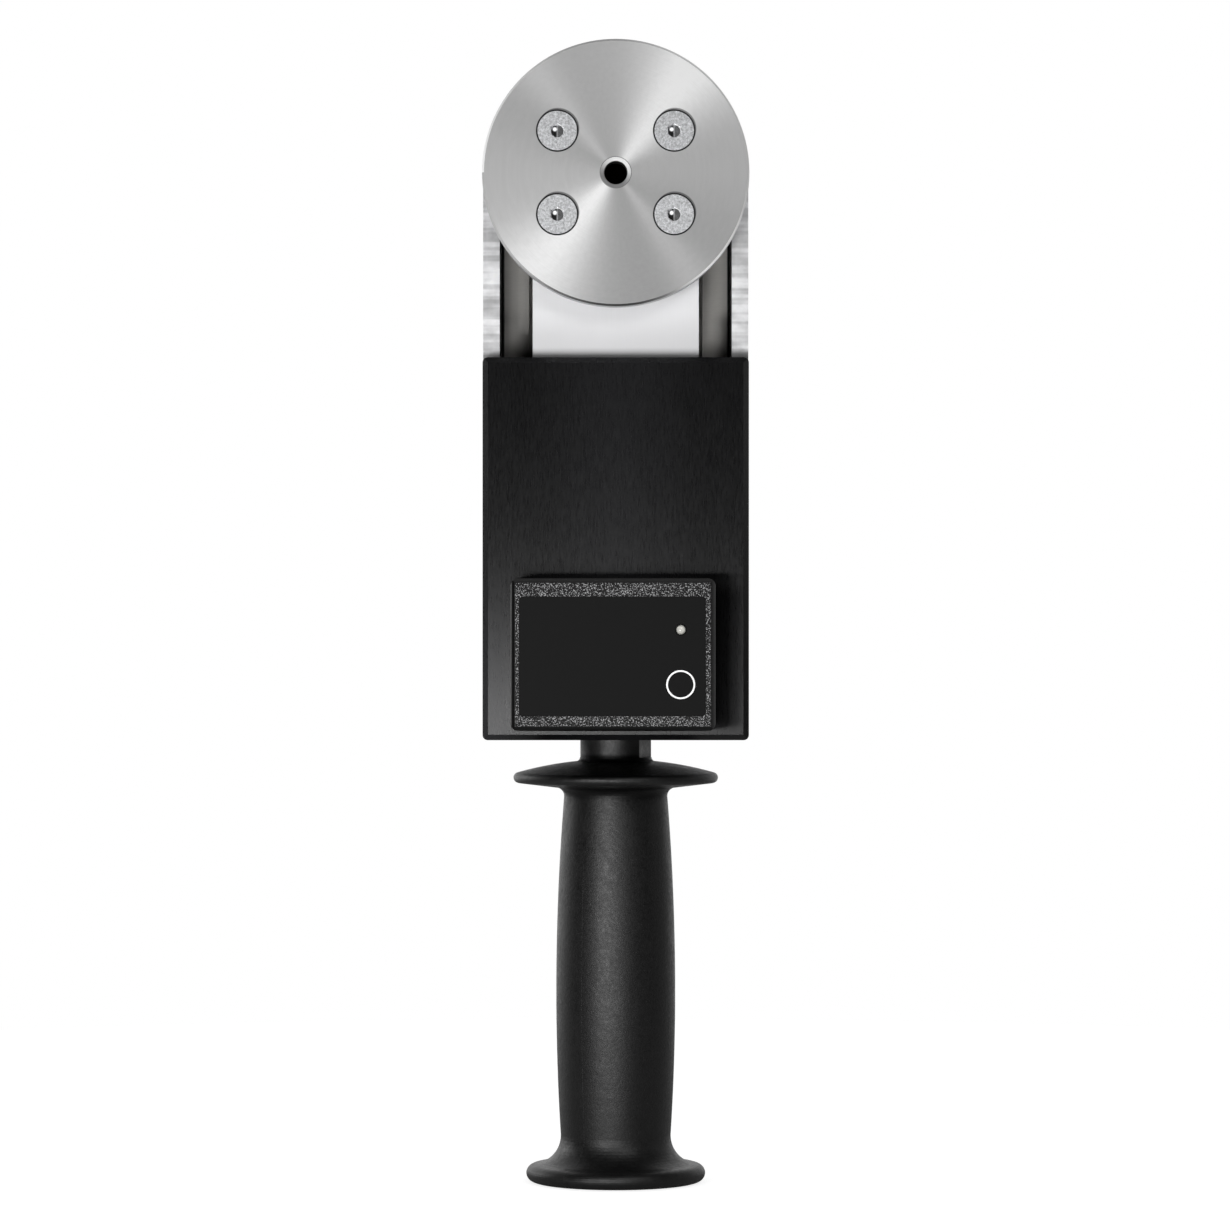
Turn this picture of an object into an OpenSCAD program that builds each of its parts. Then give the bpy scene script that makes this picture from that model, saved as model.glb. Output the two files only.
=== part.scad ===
// Closing force gauge for powered doors and gates.
// A round contact disc stands on a pair of leaf springs in a milled frame, a cover carries
// the electronics box, and a moulded handle is screwed into the lower end.
// Origin: centre of the handle's end face. The disc looks towards -Y, the handle axis is Z.

/* [Contact disc] */
// Diameter of the contact disc
disc_d = 80; // [70:1:90]
// Thickness of the contact disc
disc_t = 8; // [6:0.5:10]
// Chamfer round the disc's front edge
disc_chamfer = 0.6; // [0.3:0.1:1.5]
// Tapping hole in the disc's centre, for an M8 extension piece
thread_hole_d = 6.8; // [5:0.1:8]
// Mouth of the chamfer on the tapping hole
thread_mouth_d = 9.2; // [8.4:0.1:12]
// Sideways spacing of the four disc screws
disc_screw_dx = 35; // [30:0.5:38]
// Vertical spacing of the four disc screws
disc_screw_dz = 25; // [22:0.5:29]
// Thread of the disc screws
disc_screw_d = 6; // [5:1:6]

/* [Springs and blocks] */
// Width of the leaf springs and their blocks
leaf_w = 50; // [46:0.5:53]
// Thickness of each leaf spring
leaf_t = 3; // [1.5:0.1:4]
// Free length of the leaf springs between their clamps
leaf_free = 104; // [95:0.5:120]
// Height of the anchor block at the lower end of the leaves
anchor_h = 24; // [22:0.5:30]
// How far the head block reaches below the disc's centre
head_drop = 29.5; // [26:0.5:36]
// How far the head block rises above the disc's centre
head_rise = 23.5; // [21:0.5:25]
// Clipped upper corners of the head block and the leaves
head_clip = 8; // [6:0.5:10]
// Thickness of the pad between the disc and the front leaf
pad_t = 2; // [1:0.1:3]
// Thickness of the clamp plates
clamp_t = 2.5; // [2.4:0.1:4]
// Working travel of the disc
travel = 3; // [1:0.1:4]
// Spare gap behind the head before it meets the stop screws
stop_spare = 0.2; // [0.1:0.1:0.5]
// Thread of the clamp screws
clamp_screw_d = 4; // [3:1:4]
// Sideways spacing of the anchor screws and the lower clamp screws
anchor_screw_dx = 36; // [30:0.5:38]
// Vertical spacing of the anchor screws and the lower clamp screws
anchor_screw_dz = 12; // [10.5:0.5:13]
// Thread of the anchor screws and the stop screws
anchor_screw_d = 5; // [4:1:5]
// How far the stop screws stand out of the floor
stop_rise = 1.8; // [0.5:0.1:3]
// Vertical spacing of the two stop screws
stop_screw_dz = 28; // [24:0.5:34]

/* [Frame] */
// Distance between the disc's front face and the frame's rear face
gauge_t = 50; // [46:0.5:60]
// Width of the frame and the cover
frame_w = 80; // [78:0.5:90]
// Depth of the frame's side walls, from the rear face
frame_d = 37; // [34:0.5:38.5]
// Thickness of the side walls
wall_t = 5; // [3:0.1:5.6]
// Thickness of the floor behind the springs
floor_t = 5; // [3.5:0.1:7]
// Height of the two ledges above the floor, beside the springs
ledge_h = 5.5; // [2:0.1:10]
// Gap between a ledge and the edge of the springs
ledge_gap = 1.6; // [0.8:0.1:2]
// Thickness of the end wall that takes the handle
end_t = 12; // [8:0.5:16]
// Radius of the corners of the frame and the cover, seen from the front
frame_corner_r = 1.6; // [0.5:0.1:3]
// Chamfer along the frame's rear edges
rear_chamfer = 0.8; // [0.3:0.1:2]

/* [Cover] */
// Height of the cover
cover_h = 115; // [90:0.5:125]
// Thickness of the cover's front
cover_t = 2.5; // [2.2:0.1:4]
// Air between the cover and the clamp plate behind it
cover_gap = 0.5; // [0.3:0.1:1.5]
// Chamfer along the cover's front edges
cover_chamfer = 1.7; // [0.6:0.1:2.2]
// Thread of the cover screws
cover_screw_d = 4; // [3:1:4]
// Distance from the ends of the cover's hollow to the standoffs pressed into it
standoff_inset = 9.5; // [6:0.5:25]
// Diameter of the standoffs, which stand on the frame's ledges
standoff_d = 8; // [7:0.1:9]

/* [Handle] */
// Height of the handle from its end to the frame
handle_h = 134.5; // [115:0.5:160]
// Radius of the handle's end flange
flange_r = 27.2; // [25:0.1:32]
// Thickness of the end flange at its rim
flange_rim_t = 5.2; // [4:0.1:8]
// Radius of the waist
waist_r = 16.7; // [14:0.1:17.5]
// Radius of the fillet between the waist and the end flange
flare_r = 9; // [6:0.1:15]
// Height of the thickest part of the grip
belly_z = 57.8; // [35:0.2:85]
// Largest radius of the grip
belly_r = 18.1; // [17:0.1:21]
// Radius of the grip under the guard
grip_top_r = 15.7; // [14:0.1:17]
// Radius of the guard
guard_r = 31.1; // [24:0.1:36]
// Thickness of the guard at its rim
guard_rim_t = 3.2; // [2:0.1:5]
// How far the guard's upper face bulges above a plain cone
guard_crown = 0.4; // [0:0.1:0.8]
// Height from the guard's rim to the top of the neck
guard_drop = 11.8; // [9:0.1:18]
// Diameter of the neck
neck_d = 21.8; // [20:0.1:26]
// Width across the two wrench flats of the neck
neck_af = 19; // [16:0.5:24]
// How far the two flats are turned from the sides towards the front
neck_turn = 20; // [0:0.5:30]
// Diameter of the threaded stud
stud_d = 10; // [8:0.5:12]
// How deep the stud is moulded into the handle
stud_depth = 34; // [20:1:60]

/* [Electronics box] */
// Width of the box
box_w = 61; // [60:0.5:72]
// Height of the box
box_h = 45.5; // [45:0.5:50]
// Sideways place of the box on the cover
box_x = -0.8; // [-2:0.1:2]
// How far the box stands in front of the cover
box_d = 14; // [13:0.1:18]
// Wall thickness of the box
box_wall = 2; // [1.4:0.1:2.4]
// Depth of the box's base, up to the parting line
base_d = 4; // [3:0.1:6]
// Rounded front edges of the lid
lid_edge_r = 2; // [1:0.1:3]
// Radius of the box's corners, seen from the front
box_corner_r = 2.4; // [1:0.1:3.5]
// Width of the label
label_w = 55.5; // [50:0.5:56]
// Height of the label
label_h = 35.5; // [30:0.5:40]
// Thickness of the label
label_t = 0.25; // [0.15:0.05:0.4]
// Radius of the label's corners
label_corner_r = 1.2; // [0.5:0.1:2]
// Sideways place of the key, from the box's centre
key_x = 20.1; // [17:0.1:20.5]
// Height of the key, from the box's centre
key_z = -8.9; // [-10:0.1:-7]
// Diameter of the key
key_d = 8.7; // [7:0.1:9]
// Travel of the key
key_travel = 0.4; // [0.2:0.05:0.5]
// Sideways place of the status lamp, from the box's centre
led_x = 20.2; // [17:0.1:20.5]
// Height of the status lamp, from the box's centre
led_z = 7.4; // [6:0.1:9]
// Diameter of the status lamp
led_d = 3.2; // [3:0.1:4]
// Air round the circuit board
board_air = 1.5; // [0.5:0.1:2]
// Thickness of the circuit board
board_t = 1.6; // [0.8:0.1:2]
// Diameter of the coin cell
cell_d = 20; // [16:0.5:21]
// Thickness of the coin cell
cell_t = 3.2; // [2.4:0.1:3.6]

/* [Gauge lead] */
// Diameter of the lead from the strain gauges to the board
lead_d = 1.8; // [1.2:0.1:2.2]
// Sideways place of the lead
lead_x = 8; // [6:0.5:10]

/* [Hidden] */

$fn = 96;

// Cutters run this far past the faces they open.
past = 1;
// Radial clearance of a screw in its thread, and in a plain hole.
thread_gap = 0.05;
hole_gap = 0.25;
// Countersunk heads: radius and rim height for each millimetre of thread, how far the head
// lies under the surface, and the air between the two cones.
head_ratio = 0.983;
rim_ratio = 0.05;
head_sink = 0.1;
cone_gap = 0.05;
// Socket sizes by thread.
SOCKETS = [[2, 1.3], [3, 2], [4, 2.5], [5, 3], [6, 4], [8, 5]];

// Depths from the disc's face towards the rear, as the pieces stack. The handle's axis lies
// midway between the two outer faces.
face_y = -gauge_t / 2;
disc_back_y = face_y + disc_t;
leaf_y = disc_back_y + pad_t;
block_y = leaf_y + leaf_t;
rear_y = face_y + gauge_t;
floor_y = rear_y - floor_t;
ledge_y = floor_y - ledge_h;
wall_y = rear_y - frame_d;
cover_in_y = leaf_y - clamp_t - cover_gap;
cover_y = cover_in_y - cover_t;
// The blocks fill the depth that the travel leaves between the two leaves.
head_back_y = floor_y - stop_rise - stop_spare - travel;
rear_clamp_y = head_back_y - clamp_t;
rear_leaf_y = rear_clamp_y - leaf_t;

// Heights, from the handle's upper end to the disc's centre.
frame_z = handle_h;
pocket_z = frame_z + end_t;
anchor_z = pocket_z + 0.5;
anchor_mid_z = anchor_z + anchor_h / 2;
anchor_top_z = anchor_z + anchor_h;
head_z = anchor_top_z + leaf_free;
disc_z = head_z + head_drop;
head_top_z = disc_z + head_rise;
cover_top_z = frame_z + cover_h;

// Widths.
frame_in_w = frame_w - 2 * wall_t;
trough_w = leaf_w + 2 * ledge_gap;
// The standoffs stand this far beside the trough, with this much air round them where they
// reach into a side wall.
standoff_seat = 0.2;
well_gap = 0.15;
standoff_bore = 12;
standoff_x = trough_w / 2 + standoff_seat + standoff_d / 2;

// Holes for the extension piece behind the disc.
relief_r = thread_mouth_d / 2;
relief_depth = 10;

// Lead between the strain gauges and the board. Its hole lies just above the anchor's
// clamp plate, and the box is placed round that hole.
lead_y = leaf_y - 0.5 - lead_d / 2;
lead_top_z = anchor_top_z + 13;
lead_hole_z = anchor_top_z + 0.8 + lead_d;
lead_bend_r = lead_y - cover_y - 0.1;
lead_rise = 13.3;
gauge_w = 6;
gauge_h = 8;
gauge_foil_t = 0.2;
gauge_x = 14;
gauge_rise = 2;
grommet_r = lead_d / 2 + 2;
grommet_flange_r = grommet_r + 1.1;
grommet_flange_t = 1;
terminal_h = 6;
terminal_w = 9;
connector_w = 8;
connector_h = 4.6;
connector_d = 3;

// Electronics box, from the cover's front towards the viewer.
box_mid_z = lead_hole_z - lead_rise;
base_y = cover_y - base_d;
lid_y = cover_y - box_d;
base_in_y = cover_y - box_wall;
lid_in_y = lid_y + box_wall;
lip_gap = 0.1;
lip_t = 0.9;
lip_d = 1.2;
board_post_r = 2.4;
board_inset = 3;
board_screw_r = 1;
board_head_r = 1.9;
board_head_h = 1.2;
board_w = box_w - 2 * (box_wall + lip_gap + lip_t + board_air);
board_h = box_h - 2 * (box_wall + lip_gap + lip_t + board_air);
holder_wall = 1.5;
holder_floor = 0.7;
holder_d = holder_floor + cell_t + 0.2;
board_back_y = base_in_y - holder_d - 0.5;
board_y = board_back_y - board_t;
label_recess = label_t + 0.05;
label_x = box_x - 0.2;
label_rise = -0.5;
key_mid_x = box_x + key_x;
led_mid_x = box_x + led_x;
key_gap = 0.1;
key_flange_r = key_d / 2 + 0.9;
key_flange_t = 0.8;
key_flange_y = lid_in_y + 0.05 + key_flange_t;
switch_w = 6;
switch_y = key_flange_y + key_travel + 0.5;
plunger_r = 1.7;
plunger_gap = 0.06;
led_flange_t = 1;
led_flange_rise = 0.6;
battery_x = box_x - 7;
battery_z = -2.5;
fixing_x = box_w / 2 - 7.5;
fixing_screw_d = 3;
boss_r = 3;
boss_h = 3;

// Handle stations. The flare leaves the waist upright, turns through this angle towards level
// and ends inside the flange's rounded rim.
flange_mid = flange_rim_t / 2;
flare_reach = flange_r - flange_mid - 2 - waist_r;
flare_angle = acos(max(1 - flare_reach / flare_r, cos(80)));
waist_z = flange_rim_t + 0.35 + flare_r * sin(flare_angle);
guard_z = handle_h - guard_drop;
guard_mid = guard_rim_t / 2;
grip_fillet_r = 2.6;
grip_top_drop = 4;
grip_top_z = guard_z - guard_mid - grip_top_drop;
guard_angle = 10;
guard_slope = tan(guard_angle);
collar_fillet_r = 1.2;
collar_r = neck_d / 2 + collar_fillet_r * (1 - sin(guard_angle));
guard_rim_slope = guard_slope + 4 * guard_crown / (guard_r - collar_r);
collar_z = guard_z + guard_mid + (guard_r - collar_r) * guard_slope;
collar_top_z = collar_z + collar_fillet_r * cos(guard_angle);

// Points of an arc, from angle a0 to angle a1.
function arc(cx, cz, r, a0, a1, steps) = [
    for (i = [0 : steps])
        let (a = a0 + (a1 - a0) * i / steps)
            [cx + r * cos(a), cz + r * sin(a)]
];

function head_r(d) = head_ratio * d;
function rim_h(d) = rim_ratio * d;
function socket_af(d) = lookup(d, SOCKETS);
function mouth_r(d) = head_r(d) + rim_h(d) + head_sink + cone_gap;

// A flat shape drawn in X and Z, made solid from y0 back to y1.
module slab(y0, y1) {
    translate([0, y1, 0]) rotate([90, 0, 0]) linear_extrude(y1 - y0) children();
}

// A round bar along Y.
module rod(x, z, r, y0, y1) {
    translate([x, y0, z]) rotate([-90, 0, 0]) cylinder(r = r, h = y1 - y0);
}

// A cone along Y with radius r0 at y0 and r1 at y1.
module taper(x, z, r0, y0, r1, y1) {
    translate([x, y0, z]) rotate([-90, 0, 0]) cylinder(r1 = r0, r2 = r1, h = y1 - y0);
}

// A block between two corners.
module block(low, high) {
    translate(low) cube(high - low);
}

// A rectangle with round corners.
module round_rect(x0, z0, x1, z1, r) {
    translate([x0 + r, z0]) square([x1 - x0 - 2 * r, z1 - z0]);
    translate([x0, z0 + r]) square([x1 - x0, z1 - z0 - 2 * r]);
    for (x = [x0 + r, x1 - r], z = [z0 + r, z1 - r]) translate([x, z]) circle(r);
}

// A rectangle with clipped corners.
module clipped_rect(x0, z0, x1, z1, clip) {
    polygon([
        [x0 + clip, z0], [x1 - clip, z0], [x1, z0 + clip], [x1, z1 - clip],
        [x1 - clip, z1], [x0 + clip, z1], [x0, z1 - clip], [x0, z0 + clip]
    ]);
}

// A block with round corners seen from the front and chamfers along its front face.
module chamfered_block(x0, x1, y0, y1, z0, z1, corner_r, chamfer) {
    intersection() {
        slab(y0, y1) round_rect(x0, z0, x1, z1, corner_r);
        translate([0, 0, z0 - past]) linear_extrude(z1 - z0 + 2 * past)
            clipped_rect(x0, y0, x1, y1 + 2 * chamfer, chamfer);
        translate([x0 - past, 0, 0]) rotate([90, 0, 90]) linear_extrude(x1 - x0 + 2 * past)
            clipped_rect(y0, z0, y1 + 2 * chamfer, z1, chamfer);
    }
}

// A block with round corners seen from the front and round edges along its front face.
module cushion_block(x0, x1, y0, y1, z0, z1, corner_r, edge_r) {
    intersection() {
        slab(y0, y1) round_rect(x0, z0, x1, z1, corner_r);
        translate([0, 0, z0 - past]) linear_extrude(z1 - z0 + 2 * past)
            round_rect(x0, y0, x1, y1 + 2 * edge_r, edge_r);
        translate([x0 - past, 0, 0]) rotate([90, 0, 90]) linear_extrude(x1 - x0 + 2 * past)
            round_rect(y0, z0, y1 + 2 * edge_r, z1, edge_r);
    }
}

// Outline of the head: a rectangle with clipped upper corners.
module head_outline(w, z0, z1, clip) {
    polygon([
        [-w / 2, z0], [w / 2, z0],
        [w / 2, z1 - clip], [w / 2 - clip, z1],
        [clip - w / 2, z1], [-w / 2, z1 - clip]
    ]);
}

// Four places at the corners of a rectangle round (0, z).
module at_corners(dx, dz, z) {
    for (sx = [-1, 1], sz = [-1, 1]) translate([sx * dx / 2, 0, z + sz * dz / 2]) children();
}

// Countersunk screw with a hexagon socket: the surface it is sunk in is y = 0, and it
// points towards +Y.
module sunk_screw(d, length) {
    r = d / 2;
    top = head_sink;
    rim = top + rim_h(d);
    deep = socket_af(d) * 0.55;
    difference() {
        union() {
            rod(0, 0, head_r(d), top, rim);
            taper(0, 0, head_r(d), rim, r, rim + head_r(d) - r);
            rod(0, 0, r, rim + head_r(d) - r, length);
        }
        translate([0, top - past, 0]) rotate([-90, 30, 0])
            cylinder(d = socket_af(d) / cos(30), h = past + deep, $fn = 6);
        taper(0, 0, socket_af(d) * 0.46, top + deep, 0, top + deep + socket_af(d) * 0.22);
    }
}

// What a countersunk screw is sunk into: the cone and the plain hole behind it.
module sunk_hole(d, length) {
    hole_r = d / 2 + hole_gap;
    taper(0, 0, mouth_r(d) + past, -past, hole_r, mouth_r(d) - hole_r);
    rod(0, 0, hole_r, 0, length);
}

// Turns what is drawn from the front round to the rear face at depth y.
module from_rear(y) {
    translate([0, y, 0]) mirror([0, 1, 0]) children();
}

module at_disc_screws() {
    at_corners(disc_screw_dx, disc_screw_dz, disc_z) children();
}

module at_anchor_screws() {
    at_corners(anchor_screw_dx, anchor_screw_dz, anchor_mid_z) children();
}

module at_cover_screws() {
    for (sx = [-1, 1], z = [pocket_z + standoff_inset, cover_top_z - standoff_inset])
        translate([sx * standoff_x, 0, z]) children();
}

module at_stop_screws() {
    for (sz = [-1, 1]) translate([0, 0, disc_z + sz * stop_screw_dz / 2]) children();
}

module at_board_screws() {
    translate([box_x, 0, 0])
        at_corners(board_w - 2 * board_inset, board_h - 2 * board_inset, box_mid_z) children();
}

module at_fixing_screws() {
    for (sx = [-1, 1]) translate([box_x + sx * fixing_x, 0, box_mid_z]) children();
}

// How far the screws reach into their threads.
disc_screw_grip = 12;
clamp_screw_grip = 6.5;
anchor_screw_grip = 6.5;
cover_screw_grip = 8;
fixing_screw_grip = 2.4;
board_screw_grip = 3.5;
// Screw lengths, from the surface the head is sunk in.
disc_screw_l = disc_t + pad_t + leaf_t + disc_screw_grip;
clamp_screw_l = clamp_t + leaf_t + clamp_screw_grip;
anchor_screw_l = rear_y - rear_leaf_y + anchor_screw_grip;
cover_screw_l = rear_y - ledge_y + cover_screw_grip;
fixing_screw_l = cover_t + box_wall + fixing_screw_grip;

// Frame and cover

// Air for the standoffs in the side walls, for a frame that leaves no room beside the springs.
module standoff_wells(y0, y1) {
    at_cover_screws() rod(0, 0, standoff_d / 2 + well_gap, y0, y1);
}

// The frame before it is milled: a block with a half round on top, chamfered at the rear.
module frame_blank() {
    r = frame_w / 2;
    from_rear(rear_y) {
        intersection() {
            chamfered_block(-r, r, 0, frame_d, frame_z, disc_z + r, frame_corner_r, rear_chamfer);
            block([-r - past, -past, frame_z - past], [r + past, frame_d + past, disc_z]);
        }
        taper(0, disc_z, r - rear_chamfer, 0, r, rear_chamfer, $fn = 180);
        rod(0, disc_z, r, rear_chamfer, frame_d, $fn = 180);
    }
}

// The pocket between the side walls, with the corners that its cutter leaves.
module pocket_outline() {
    r = frame_in_w / 2;
    cutter_r = 3;
    translate([-r, pocket_z + cutter_r]) square([2 * r, disc_z - pocket_z - cutter_r]);
    translate([cutter_r - r, pocket_z]) square([2 * (r - cutter_r), cutter_r]);
    for (sx = [-1, 1]) translate([sx * (r - cutter_r), pocket_z + cutter_r]) circle(cutter_r);
    translate([0, disc_z]) circle(r, $fn = 180);
}

module frame_channel() {
    color("#b4b6b8") difference() {
        frame_blank();
        slab(wall_y - past, ledge_y) pocket_outline();
        slab(ledge_y - past, floor_y)
            head_outline(trough_w, pocket_z, head_top_z + ledge_gap, head_clip);
        translate([0, 0, frame_z - past])
            cylinder(r = stud_d / 2 + thread_gap, h = end_t + 2 * past);
        from_rear(rear_y) at_anchor_screws() sunk_hole(anchor_screw_d, floor_t + past);
        from_rear(rear_y) at_cover_screws() sunk_hole(cover_screw_d, floor_t + ledge_h + past);
        at_stop_screws() rod(0, 0, anchor_screw_d / 2 + thread_gap, floor_y - past, rear_y + past);
        standoff_wells(wall_y - past, ledge_y);
    }
}

module front_cover() {
    color("#1d1d1f") difference() {
        chamfered_block(-frame_w / 2, frame_w / 2, cover_y, wall_y, frame_z, cover_top_z,
            frame_corner_r, cover_chamfer);
        block([-frame_in_w / 2, cover_in_y, pocket_z],
            [frame_in_w / 2, wall_y + past, cover_top_z + past]);
        standoff_wells(cover_in_y, wall_y + past);
        rod(lead_x, lead_hole_z, grommet_r + thread_gap, cover_y - past, cover_in_y + past);
        from_rear(cover_in_y) at_fixing_screws() sunk_hole(fixing_screw_d, cover_t + past);
    }
}

module cover_standoffs() {
    color("silver") at_cover_screws() difference() {
        rod(0, 0, standoff_d / 2, cover_in_y, ledge_y);
        rod(0, 0, cover_screw_d / 2 + thread_gap, ledge_y - standoff_bore, ledge_y + past);
    }
}

module cover_screws() {
    color("#3a3a3c") from_rear(rear_y) at_cover_screws() sunk_screw(cover_screw_d, cover_screw_l);
}

// Handle

// Radius of the grip at height z: one parabola below the belly and one above it.
function grip_r(z) = z < belly_z
    ? belly_r - (belly_r - waist_r) * pow((belly_z - z) / (belly_z - waist_z), 2)
    : belly_r - (belly_r - grip_top_r) * pow((z - belly_z) / (grip_top_z - belly_z), 2);

function between(z0, z1, steps) = [for (i = [1 : steps - 1]) z0 + (z1 - z0) * i / steps];

// The guard's upper face, from its rim at (r0, z0) to its collar: a cone with a crown on it.
function guard_top(r0, z0, steps) = [
    for (i = [1 : steps])
        let (t = i / steps)
            [r0 + (collar_r - r0) * t, z0 + (collar_z - z0) * t + 4 * guard_crown * t * (1 - t)]
];

// Turned outline of the handle, from the centre of its end up to the neck.
function handle_outline() = let (
    rim_end = 90 - atan(guard_rim_slope),
    rim = arc(guard_r - guard_mid, guard_z, guard_mid, -80, rim_end, 12),
    rim_last = rim[len(rim) - 1]
) concat(
    [[0, 0]],
    arc(flange_r - flange_mid, flange_mid, flange_mid, -90, 80, 14),
    arc(waist_r + flare_r, waist_z, flare_r, 180 + flare_angle, 180, 10),
    [for (z = between(waist_z, belly_z, 10)) [grip_r(z), z]],
    [for (z = between(belly_z, grip_top_z, 14)) [grip_r(z), z]],
    arc(grip_top_r + grip_fillet_r, grip_top_z, grip_fillet_r, 180, 100, 6),
    rim,
    guard_top(rim_last[0], rim_last[1], 8),
    arc(neck_d / 2 + collar_fillet_r, collar_top_z, collar_fillet_r, 270 - 2 * guard_angle, 180, 5),
    [[0, collar_top_z]]
);

module handle() {
    color("#202022") difference() {
        union() {
            rotate_extrude($fn = 120) polygon(handle_outline());
            translate([0, 0, guard_z]) intersection() {
                cylinder(d = neck_d, h = handle_h - guard_z, $fn = 120);
                rotate([0, 0, -neck_turn]) block([-neck_af / 2, -neck_d, -past],
                    [neck_af / 2, neck_d, handle_h]);
            }
        }
        translate([0, 0, handle_h - stud_depth - 0.1])
            cylinder(r = stud_d / 2 + thread_gap, h = stud_depth + past);
    }
}

module handle_stud() {
    chamfer = 1;
    length = stud_depth + end_t - 0.5;
    color("silver") translate([0, 0, handle_h - stud_depth]) {
        cylinder(d = stud_d, h = length - chamfer);
        translate([0, 0, length - chamfer])
            cylinder(d1 = stud_d, d2 = stud_d - 2 * chamfer, h = chamfer);
    }
}

// Spring unit

module spring_leaf(y) {
    slab(y, y + leaf_t) head_outline(leaf_w, anchor_z, head_top_z, head_clip);
}

module spring_leaf_front() {
    color("#d8d8d8") difference() {
        spring_leaf(leaf_y);
        at_disc_screws() rod(0, 0, disc_screw_d / 2 + hole_gap, leaf_y - past, block_y + past);
        at_anchor_screws() rod(0, 0, clamp_screw_d / 2 + hole_gap, leaf_y - past, block_y + past);
        rod(0, disc_z, relief_r, leaf_y - past, block_y + past);
    }
}

module spring_leaf_rear() {
    color("#c8c8c8") difference() {
        spring_leaf(rear_leaf_y);
        at_disc_screws()
            rod(0, 0, clamp_screw_d / 2 + hole_gap, rear_leaf_y - past, rear_clamp_y + past);
        at_anchor_screws()
            rod(0, 0, anchor_screw_d / 2 + hole_gap, rear_leaf_y - past, rear_clamp_y + past);
    }
}

module anchor_block() {
    color("#b9bbbe") difference() {
        block([-leaf_w / 2, block_y, anchor_z], [leaf_w / 2, rear_leaf_y, anchor_top_z]);
        at_anchor_screws() rod(0, 0, clamp_screw_d / 2 + thread_gap,
            block_y - past, leaf_y - clamp_t + clamp_screw_l + 1);
        at_anchor_screws() rod(0, 0, anchor_screw_d / 2 + thread_gap,
            rear_y - anchor_screw_l - 1, rear_leaf_y + past);
    }
}

module anchor_spacer() {
    color("#b9bbbe") difference() {
        block([-leaf_w / 2, rear_clamp_y, anchor_z], [leaf_w / 2, floor_y, anchor_top_z]);
        at_anchor_screws()
            rod(0, 0, anchor_screw_d / 2 + hole_gap, rear_clamp_y - past, floor_y + past);
    }
}

module anchor_screws() {
    color("#3a3a3c") from_rear(rear_y) at_anchor_screws()
        sunk_screw(anchor_screw_d, anchor_screw_l);
}

module root_clamp_plate() {
    color("#b9bbbe") difference() {
        block([-leaf_w / 2, leaf_y - clamp_t, anchor_z], [leaf_w / 2, leaf_y, anchor_top_z]);
        translate([0, leaf_y - clamp_t, 0]) at_anchor_screws()
            sunk_hole(clamp_screw_d, clamp_t + past);
    }
}

module root_clamp_screws() {
    color("#3a3a3c") translate([0, leaf_y - clamp_t, 0]) at_anchor_screws()
        sunk_screw(clamp_screw_d, clamp_screw_l);
}

module stop_screws() {
    r = anchor_screw_d / 2;
    color("#3a3a3c") at_stop_screws() difference() {
        rod(0, 0, r, floor_y - stop_rise, rear_y - 0.3);
        translate([0, rear_y - 3, 0]) rotate([-90, 30, 0])
            cylinder(d = r / cos(30), h = 3 + past, $fn = 6);
    }
}

// Strain gauges on both faces of the front leaf, just above the anchor.
module strain_gauges() {
    color("#c98a3c") for (sx = [-1, 1], y = [leaf_y - gauge_foil_t, block_y])
        translate([sx * gauge_x - gauge_w / 2, y, anchor_top_z + gauge_rise])
            cube([gauge_w, gauge_foil_t, gauge_h]);
}

module gauge_terminal() {
    color("#caa25a") block([lead_x - terminal_w / 2, lead_y - lead_d / 2 - 0.2, lead_top_z],
        [lead_x + terminal_w / 2, leaf_y, lead_top_z + terminal_h]);
}

module gauge_lead() {
    bend_y = lead_y - lead_bend_r;
    bend_z = lead_hole_z + lead_bend_r;
    color("#8f9296") {
        translate([lead_x, lead_y, bend_z]) cylinder(d = lead_d, h = lead_top_z - bend_z, $fn = 24);
        translate([lead_x, bend_y, bend_z]) rotate([90, 0, 90])
            rotate_extrude(angle = -90, $fn = 48) translate([lead_bend_r, 0]) circle(d = lead_d, $fn = 24);
        rod(lead_x, lead_hole_z, lead_d / 2, board_back_y + connector_d, bend_y, $fn = 24);
    }
}

module lead_grommet() {
    color("#151515") difference() {
        union() {
            rod(lead_x, lead_hole_z, grommet_r, base_in_y, cover_y);
            rod(lead_x, lead_hole_z, grommet_flange_r, base_in_y - grommet_flange_t, base_in_y);
        }
        rod(lead_x, lead_hole_z, lead_d / 2 + thread_gap, base_in_y - grommet_flange_t - past,
            cover_y + past);
    }
}

// Electronics box

module box_outline(inset) {
    round_rect(box_x - box_w / 2 + inset, box_mid_z - box_h / 2 + inset,
        box_x + box_w / 2 - inset, box_mid_z + box_h / 2 - inset, max(box_corner_r - inset, 0.5));
}

module box_base() {
    lip_inset = box_wall + lip_gap;
    color("#202022") difference() {
        union() {
            difference() {
                union() {
                    slab(base_y, cover_y) box_outline(0);
                    slab(base_y - lip_d, cover_y) box_outline(lip_inset);
                }
                slab(base_y - lip_d - past, base_in_y) box_outline(lip_inset + lip_t);
            }
            at_board_screws() rod(0, 0, board_post_r, board_back_y, base_in_y);
            at_fixing_screws() rod(0, 0, boss_r, base_in_y - boss_h, base_in_y);
        }
        at_board_screws() rod(0, 0, board_screw_r + thread_gap, board_back_y - past, base_in_y);
        at_fixing_screws() rod(0, 0, fixing_screw_d / 2 + thread_gap,
            base_in_y - boss_h - past, cover_y + past);
        rod(lead_x, lead_hole_z, grommet_r + thread_gap, base_in_y - past, cover_y + past);
    }
}

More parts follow.
